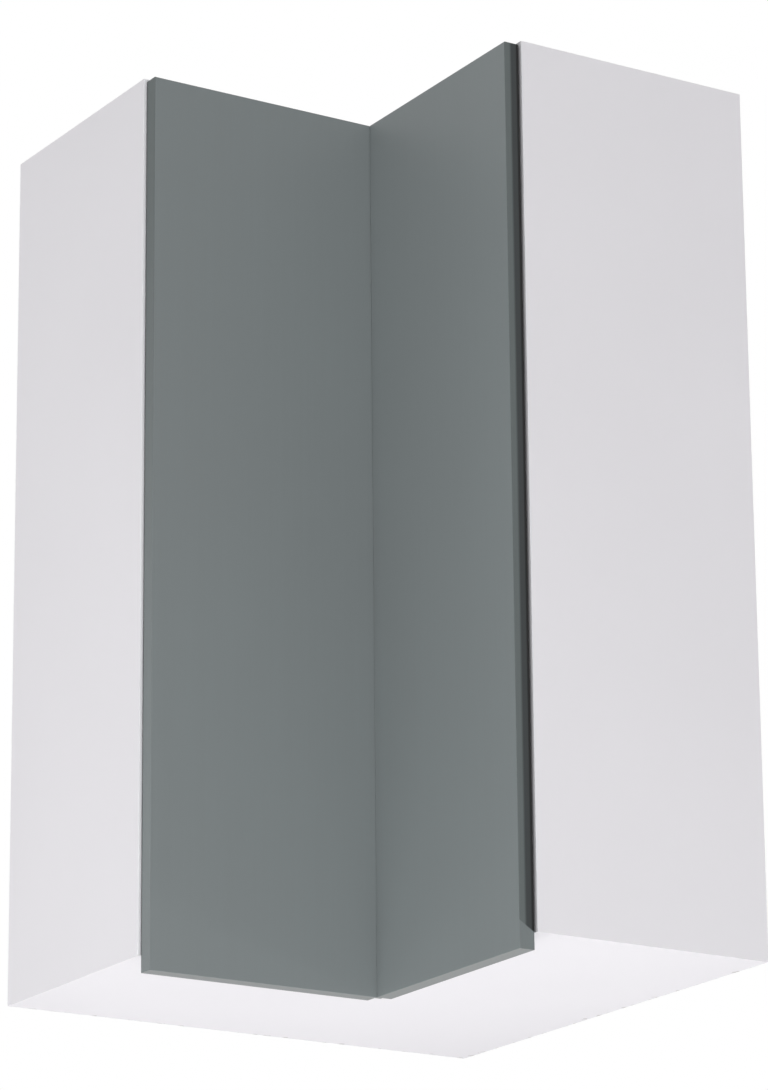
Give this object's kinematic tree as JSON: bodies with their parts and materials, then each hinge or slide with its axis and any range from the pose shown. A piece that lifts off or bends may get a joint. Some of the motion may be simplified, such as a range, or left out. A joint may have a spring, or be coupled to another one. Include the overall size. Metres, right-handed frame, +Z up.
{
  "type": "corner wall cabinet",
  "caption": "Tall L-shaped kitchen wall cabinet for a room corner, with plain grey bi-fold fronts, white carcass, shelves and concealed hinges.",
  "frame": {"origin": "where the two room walls meet, level with the underside of the carcass", "axes": "+X along the right wall away from the corner, -Y along the left wall away from the corner, +Z up"},
  "size_m": [0.6, 0.6, 1.019],
  "materials": {
    "carcass_face": "white melamine-faced chipboard, satin",
    "carcass_edge": "white edge band, satin",
    "back_face": "white-faced hardboard, satin",
    "batten_face": "raw chipboard batten, matt",
    "front_face": "mid grey foil on board, matt",
    "zinc_casting": "nickel-plated zinc casting, satin",
    "pressed_steel": "nickel-plated pressed steel, satin",
    "screw_steel": "zinc-plated steel, satin",
    "beech": "grooved beech, raw",
    "white_plastic": "white moulded plastic, satin",
    "clear_rubber": "clear soft bumper"
  },
  "bodies": {
    "carcass": {"right_end_panel": "carcass_face", "left_end_panel": "carcass_face", "bottom_board": "carcass_face", "top_board": "carcass_face", "lower_shelf": "carcass_face", "upper_shelf": "carcass_face", "right_end_band": "carcass_edge", "left_end_band": "carcass_edge", "bottom_bands": "carcass_edge", "top_bands": "carcass_edge", "lower_shelf_bands": "carcass_edge", "upper_shelf_bands": "carcass_edge", "right_back": "back_face", "left_back": "back_face", "right_corner_batten": "batten_face", "left_corner_batten": "batten_face", "back_screws": "screw_steel", "carcass_dowels": "beech", "cam_bolts": "screw_steel", "cam_discs": "zinc_casting", "cam_caps": "white_plastic", "shelf_pins": "zinc_casting", "hanger_housings": "white_plastic", "hanger_hooks": "pressed_steel", "hanger_screws": "screw_steel", "hanger_covers": "white_plastic", "hinge_plates": "zinc_casting", "hinge_plate_screws": "screw_steel", "hinge_arms": "pressed_steel", "hinge_arm_screws": "screw_steel"},
    "right_door": {"right_door": "front_face", "right_door_bumpers": "clear_rubber", "hinge_cups": "pressed_steel", "hinge_cup_screws": "screw_steel", "fold_plates": "zinc_casting", "fold_plate_screws": "screw_steel", "fold_arms": "pressed_steel", "fold_arm_screws": "screw_steel"},
    "left_door": {"left_door": "front_face", "left_door_bumpers": "clear_rubber", "fold_cups": "pressed_steel", "fold_cup_screws": "screw_steel"},
    "swing_arm_links": {"hinge_arm_links": "pressed_steel"},
    "swing_cup_links": {"hinge_cup_links": "pressed_steel"},
    "fold_arm_links": {"fold_arm_links": "pressed_steel"},
    "fold_cup_links": {"fold_cup_links": "pressed_steel"}
  },
  "joints": [
    {"name": "door_swing", "type": "hinge", "parent": "carcass", "child": "right_door", "pos_m": [0.591, -0.308, 0.512], "axis": [0, 0, 1], "range_deg": [0, 110]},
    {"name": "door_fold", "type": "hinge", "parent": "right_door", "child": "left_door", "pos_m": [0.316, -0.316, 0.512], "axis": [0, 0, 1], "range_deg": [0, 60]},
    {"name": "swing_arm_link_turn", "type": "hinge", "parent": "carcass", "child": "swing_arm_links", "pos_m": [0.569, -0.289, 0.512], "axis": [0, 0, 1], "range_deg": [0, 110]},
    {"name": "swing_cup_link_turn", "type": "hinge", "parent": "right_door", "child": "swing_cup_links", "pos_m": [0.577, -0.299, 0.512], "axis": [0, 0, 1], "range_deg": [-110, 0]},
    {"name": "fold_arm_link_turn", "type": "hinge", "parent": "right_door", "child": "fold_arm_links", "pos_m": [0.2894, -0.313, 0.512], "axis": [0, 0, 1], "range_deg": [0, 60]},
    {"name": "fold_cup_link_turn", "type": "hinge", "parent": "left_door", "child": "fold_cup_links", "pos_m": [0.299, -0.3364, 0.512], "axis": [0, 0, 1], "range_deg": [-60, 0]}
  ],
  "couplings": [
    {"joint": "swing_arm_link_turn", "follows": "door_swing", "ratio": 1},
    {"joint": "swing_cup_link_turn", "follows": "door_swing", "ratio": -1},
    {"joint": "fold_arm_link_turn", "follows": "door_fold", "ratio": 1},
    {"joint": "fold_cup_link_turn", "follows": "door_fold", "ratio": -1}
  ]
}
